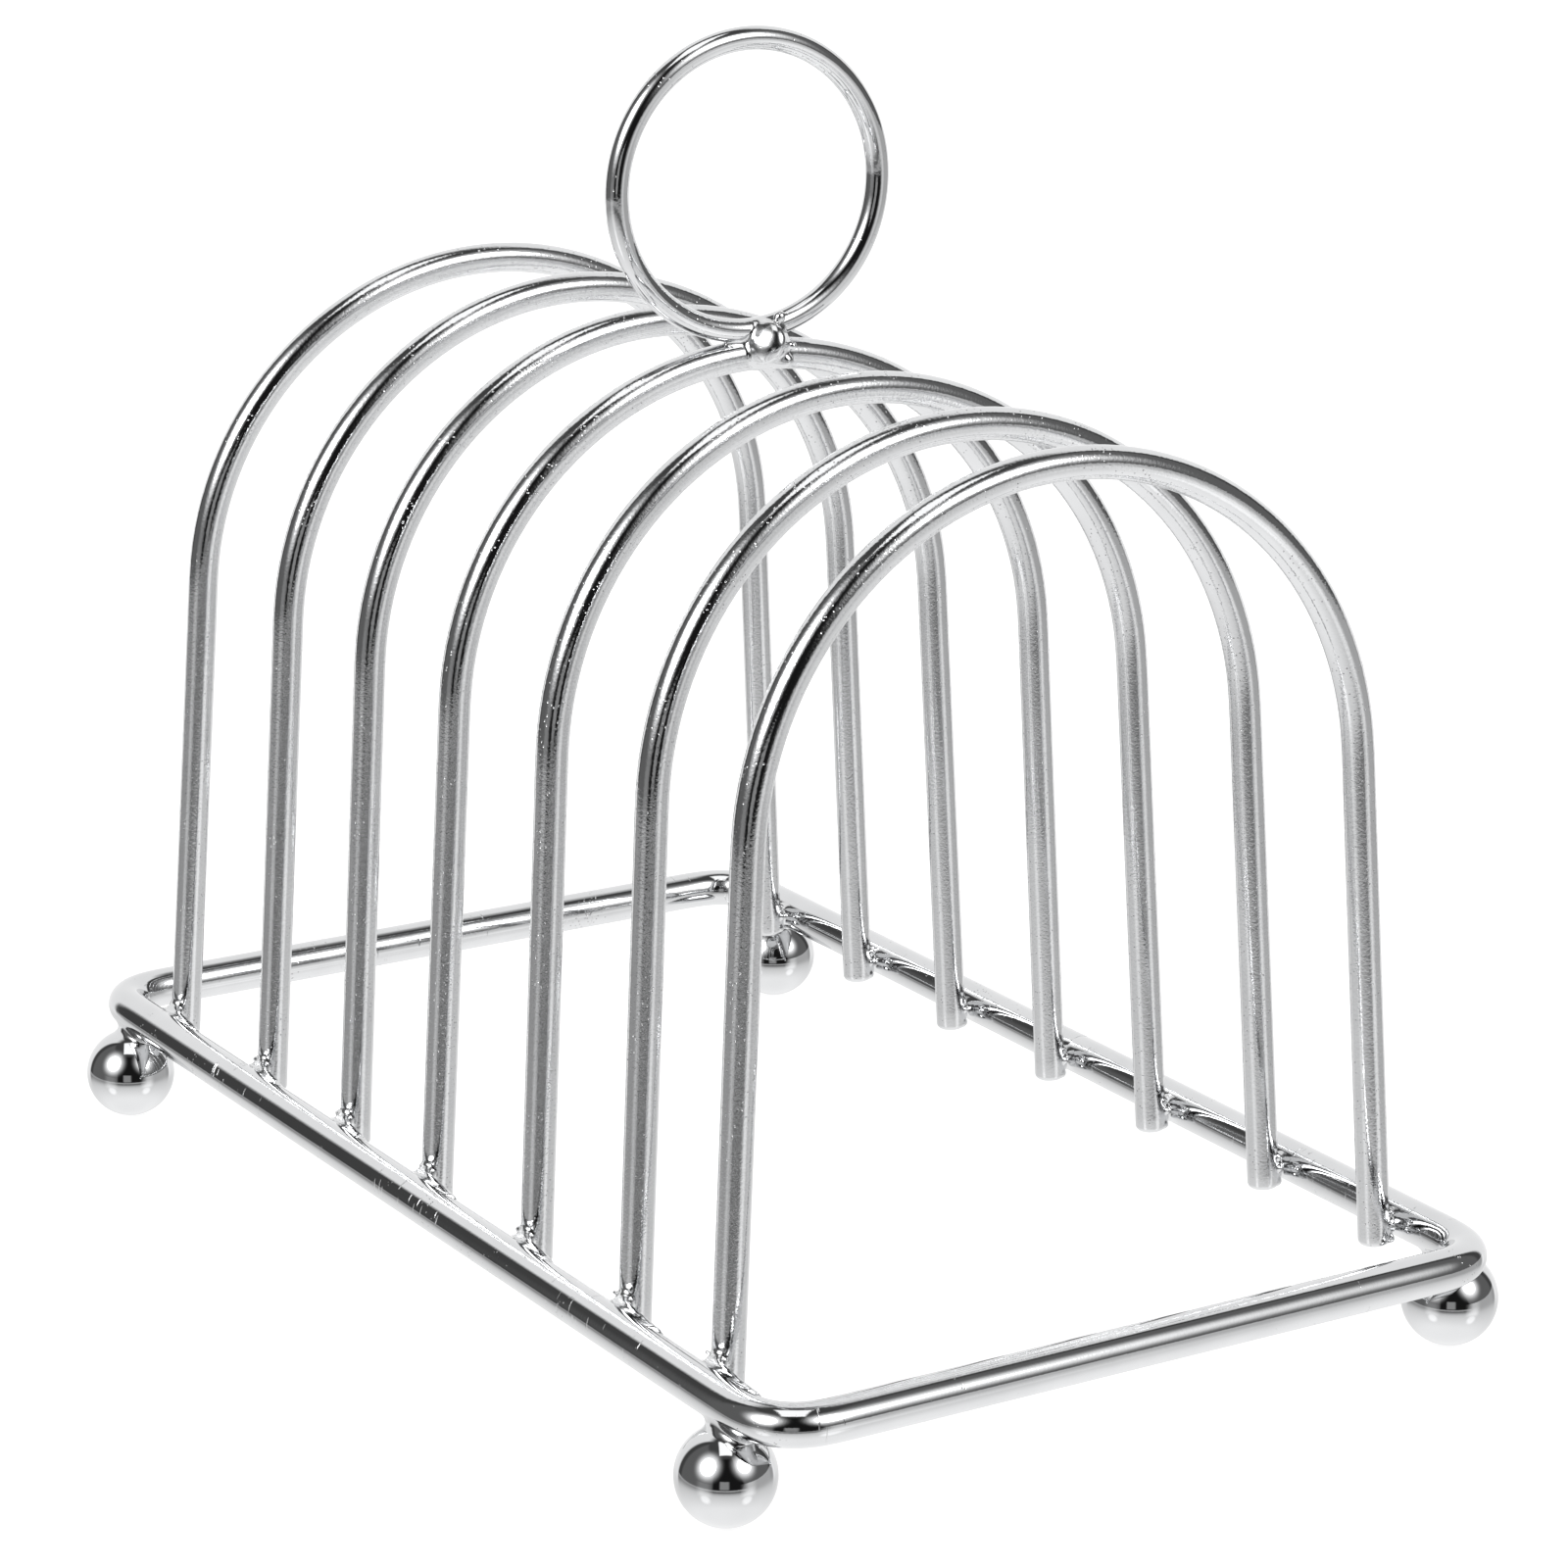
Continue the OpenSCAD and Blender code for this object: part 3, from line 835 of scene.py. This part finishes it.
def ring_weld(hoop, ring, material):
    """The cushion of metal that holds the ring to the middle hoop's crown, with the nub where the filler
    was pulled away, small knobs, and the lip where it ran on to the hoop."""
    rng = np.random.default_rng(7)
    lo, hi = [np.array(v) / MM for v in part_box("ring_weld")]
    middle = (lo + hi) / 2
    beside = horizontal(CAMERA_AZIMUTH + 90)

    def place(out, lift):
        return middle + beside * out + np.array([0, 0, lift])

    aside, lift = RING_WELD_FACE
    face = direction(CAMERA_AZIMUTH + aside, lift)
    core, cushion = place(*CORE), place(*CUSHION) + CUSHION_OUT * face
    lip = place(*LIP_START), place(*LIP_END), *LIP_RADII
    bumps, lumps = ripples(rng, RING_BUMP_SIZE), ripples(rng, RING_LUMP_SIZE)
    crown_r, ring_r = hoop["wire_r"] / MM, ring["wire_r"] / MM

    def field(p):
        crown, handle = hoop_wire(p, hoop, crown_r) + UNDER_WIRE, hoop_wire(p, ring, ring_r) + UNDER_WIRE
        body = blend(blend(crown, handle, RING_FILLET), ball(p, core, CORE_R), CORE_FILLET)
        body = blend(body, lens(p, cushion, face, CUSHION_FLAT, CUSHION_WIDE), BEAD_FILLET)
        body = blend(body, capsule(p, *lip), LIP_FILLET)
        for centre, r in NUB_AND_KNOBS:
            body = blend(body, ball(p, place(*centre), r), BEAD_FILLET)
        wet = weld_share(body, np.minimum(crown, handle), WELD_DEPTH)
        body = roughen(p, body, wet, lambda q: RING_BUMPS * bumps(q) + RING_LUMPS * lumps(q))
        return np.maximum(body, ball(p, middle, RING_WELD_R))

    verts, faces = surface_net(field, middle - RING_WELD_BOX, middle + RING_WELD_BOX, WELD_STEP)
    new_mesh("ring_weld_lump", verts * MM, faces, material, "weld_metal", "ring_weld")


def foot_shape(corner):
    """A ball foot's centre and radius."""
    lo, hi = [np.array(v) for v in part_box("foot_" + corner)]
    r = (hi[0] - lo[0]) / 2
    return np.array([(lo[0] + hi[0]) / 2, (lo[1] + hi[1]) / 2, lo[2] + r]), r


def foot_weld(corner, rails, material):
    """The neck of weld metal between a ball foot and its rail."""
    rng = np.random.default_rng(sum(map(ord, corner)))
    rail_r, _, rail_y, rail_z = [v / MM for v in base_shape()]
    centre, r = [v / MM for v in foot_shape(corner)]
    side = math.copysign(1, centre[1])
    rail = np.array([centre[0], side * rail_y, rail_z])
    bumps = ripples(rng, FOOT_BUMP_SIZE)
    seat = (rail + centre + (0, 0, r)) / 2 - (0, 0, FOOT_WELD_DROP)

    def field(p):
        bar = along_path(p, rails, rail_r, rail, FOOT_WELD_RAIL) + UNDER_WIRE
        foot = ball(p, centre, r) + UNDER_WIRE
        body = blend(bar, foot, FOOT_FILLET)
        wet = weld_share(body, np.minimum(bar, foot), FOOT_WELD_DEPTH)
        body = roughen(p, body, wet, lambda q: FOOT_BUMPS * bumps(q))
        return np.maximum(body, ball(p, seat, FOOT_WELD_R))

    verts, faces = surface_net(field, seat - FOOT_WELD_BOX, seat + FOOT_WELD_BOX, WELD_STEP)
    new_mesh(f"foot_weld_{corner}_neck", verts * MM, faces, material, "weld_metal", "foot_weld_" + corner)


# ---------------------------------------------------------------- ball feet

def foot_ball(corner, material):
    """A turned and polished ball."""
    centre, r = foot_shape(corner)
    rows, columns = FOOT_ROWS, FOOT_COLUMNS
    verts, faces = [(0, 0, -r)], []
    for i in range(1, rows):
        t = math.pi * i / rows - math.pi / 2
        for j in range(columns):
            s = 2 * math.pi * j / columns
            verts.append((r * math.cos(t) * math.cos(s), r * math.cos(t) * math.sin(s), r * math.sin(t)))
    verts.append((0, 0, r))
    for j in range(columns):
        k = (j + 1) % columns
        faces.append((0, 1 + k, 1 + j))
        for i in range(rows - 2):
            a, b = 1 + i * columns, 1 + (i + 1) * columns
            faces.append((a + j, a + k, b + k, b + j))
        top = 1 + (rows - 2) * columns
        faces.append((len(verts) - 1, top + j, top + k))
    verts = np.array(verts) + centre
    new_mesh(f"foot_{corner}_ball", verts, faces, material, "foot_ball", "foot_" + corner)


# ---------------------------------------------------------------- the rack

make_camera()
make_world()
make_floor()
bpy.context.scene.view_settings.view_transform = "Standard"

hoop_chrome = make_chrome("hoop_chrome", 0.04, pits=0.22, grain=0.016, orange_peel=0.008, streaks=0.009)
base_chrome = make_chrome("base_chrome", 0.03, pits=0.12, grain=0.003, orange_peel=0.003, streaks=0.002,
                          cuts=0.05)
ring_chrome = make_chrome("ring_chrome", 0.025, pits=0.16, grain=0.006, orange_peel=0.006, streaks=0.004)
ball_chrome = make_chrome("ball_chrome", 0.02, pits=0.0, grain=0.001, orange_peel=0.004)
weld_chrome = make_chrome("weld_chrome", 0.05, pits=0.12, grain=0.006, orange_peel=0.012)
lump_chrome = make_chrome("lump_chrome", 0.12, pits=0.12, grain=0.01, orange_peel=0.03)
flow_chrome = make_chrome("flow_chrome", 0.06, pits=0.12, grain=0.012, orange_peel=0.012, flow=0.05)

seam_lo, seam_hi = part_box("frame_seam")
seam_x = (seam_lo.x + seam_hi.x) / 2
base_r, _, base_y, base_z = base_shape()
rails = base_path(seam_x)
tube("base_frame_wire", rails, (0, 0, 1), base_r, base_chrome, "base_wire", "base_frame",
     edge_r=SEAM_EDGE_R)
seam_ends = [np.array([x, base_y, base_z]) for x in (seam_lo.x, seam_x, seam_hi.x)]
tube("frame_seam_core", seam_ends, (0, 0, 1), base_r - SEAM_DEPTH, weld_chrome, "base_wire", "frame_seam",
     edge_r=SEAM_EDGE_R)

hoops = {i: hoop_shape(i) for i in HOOPS}
for i, hoop in hoops.items():
    tube(f"hoop_{i}_wire", hoop_path(hoop), hoop["normal"], hoop["wire_r"], hoop_chrome, "hoop_wire",
         f"hoop_{i}", edge_r=CUT_EDGE_R)
    for side, leg in zip((-1, 1), hoop["legs"]):
        leg_weld(i, side, leg, hoop, rails / MM, flow_chrome if side < 0 else weld_chrome)

ring, _, _ = bent_wire("ring_handle", CROWN_DEPTH)
tube("ring_handle_wire", arc(ring["centre"], ring["across"], ring["up"], ring["r"], -math.pi / 2,
                             1.5 * math.pi, ARC_STEP),
     ring["normal"], ring["wire_r"], ring_chrome, "ring_wire", "ring_handle", closed=True)
ring_weld(hoops[4], ring, lump_chrome)

for corner in CORNERS:
    foot_ball(corner, ball_chrome)
    foot_weld(corner, rails / MM, weld_chrome)
